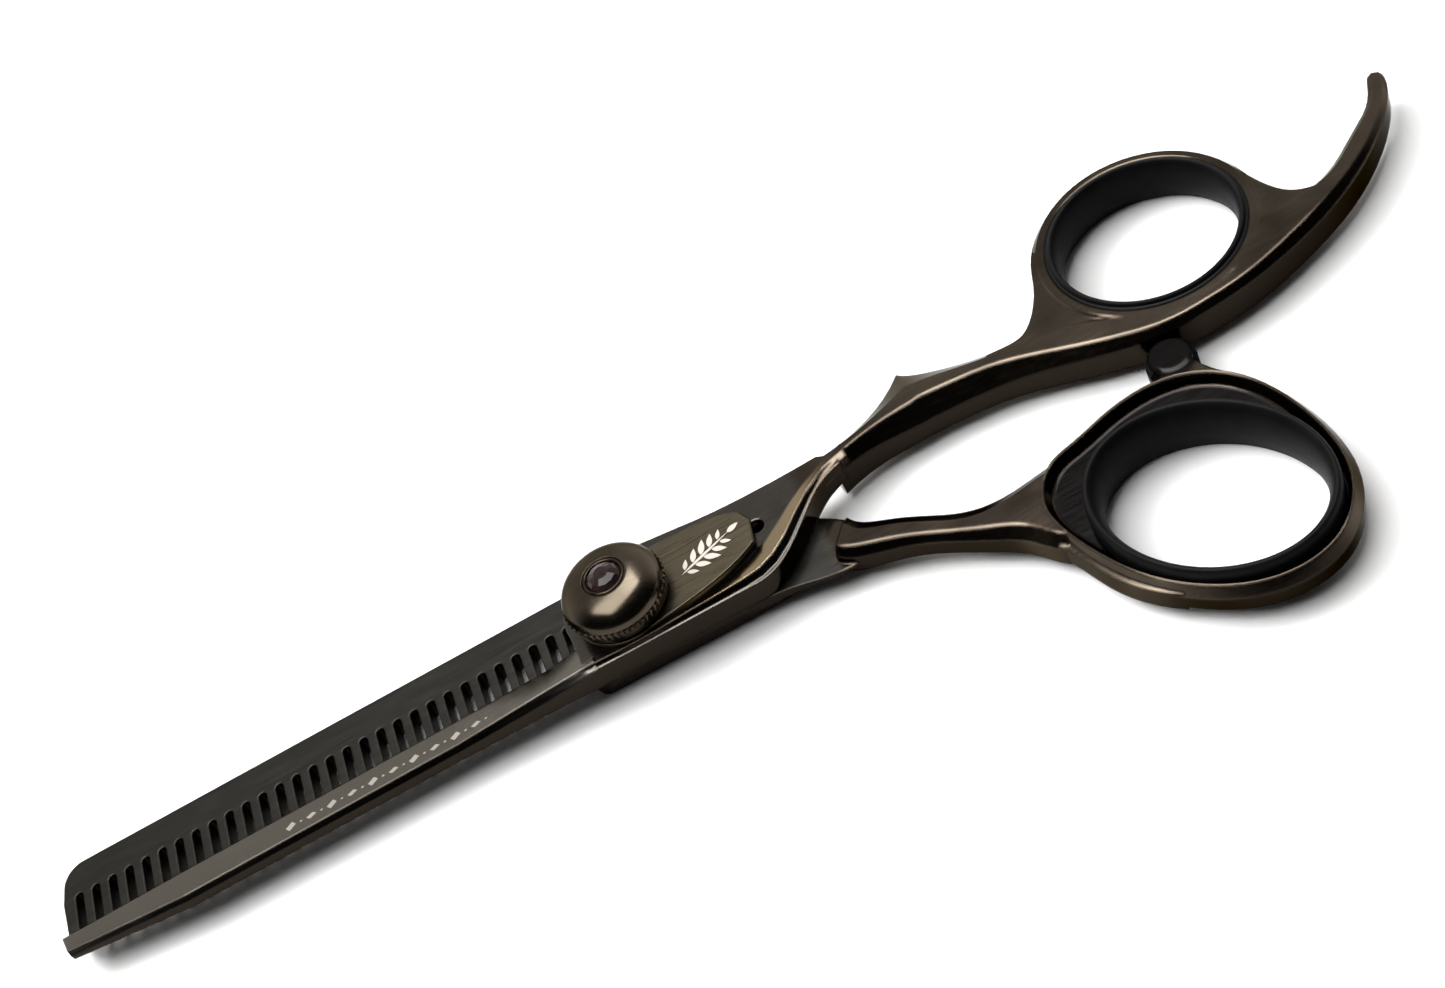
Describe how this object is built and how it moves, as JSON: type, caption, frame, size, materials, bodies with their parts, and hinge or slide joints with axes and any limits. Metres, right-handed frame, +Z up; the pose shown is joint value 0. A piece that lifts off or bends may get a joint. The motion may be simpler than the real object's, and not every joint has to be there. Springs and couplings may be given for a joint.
{
  "type": "hair thinning shears",
  "caption": "Hair-thinning shears: a straight cutting blade over a comb blade, domed tension knob, rubber-lined finger and thumb rings and a curved finger rest.",
  "frame": {"origin": "on the pivot axis, at the flat underside of the pivot screw head, in the plane the closed shears lie on", "axes": "+Z up along the pivot axis towards the tension knob; -X towards the blade tips and +X towards the handles; +Y the side of the round finger ring and -Y the side of the thumb ring"},
  "size_m": [0.1692, 0.0609, 0.0121],
  "materials": {
    "cutting_half": "polished, dark titanium coating",
    "finger_insert": "matt",
    "pivot_bush": "plain turned",
    "tension_plate": "satin, dark titanium coating",
    "toothed_half": "polished handle and satin blade, dark titanium coating",
    "thumb_insert": "matt",
    "bumper": "satin",
    "pivot_screw": "satin",
    "thrust_washer": "plain",
    "plate_washer": "plain",
    "tension_knob": "polished, dark titanium coating",
    "knob_insert": "plain turned",
    "jewel_bezel": "polished, dark titanium coating",
    "jewel": "smoky cut stone"
  },
  "bodies": {
    "finger_side": {"cutting_half": "cutting_half", "finger_insert": "finger_insert", "pivot_bush": "pivot_bush", "tension_plate": "tension_plate"},
    "thumb_side": {"toothed_half": "toothed_half", "thumb_insert": "thumb_insert", "bumper": "bumper", "pivot_screw": "pivot_screw", "thrust_washer": "thrust_washer", "plate_washer": "plate_washer"},
    "knob": {"tension_knob": "tension_knob", "knob_insert": "knob_insert", "jewel_bezel": "jewel_bezel", "jewel": "jewel"}
  },
  "joints": [
    {"name": "blade_pivot", "type": "hinge", "parent": "finger_side", "child": "thumb_side", "pos_m": [0, 0, 0.0032], "axis": [0, 0, -1], "range_deg": [0, 60]},
    {"name": "knob_turn", "type": "hinge", "parent": "thumb_side", "child": "knob", "pos_m": [0, 0, 0.009], "axis": [0, 0, 1], "range_deg": [-90, 90]}
  ]
}
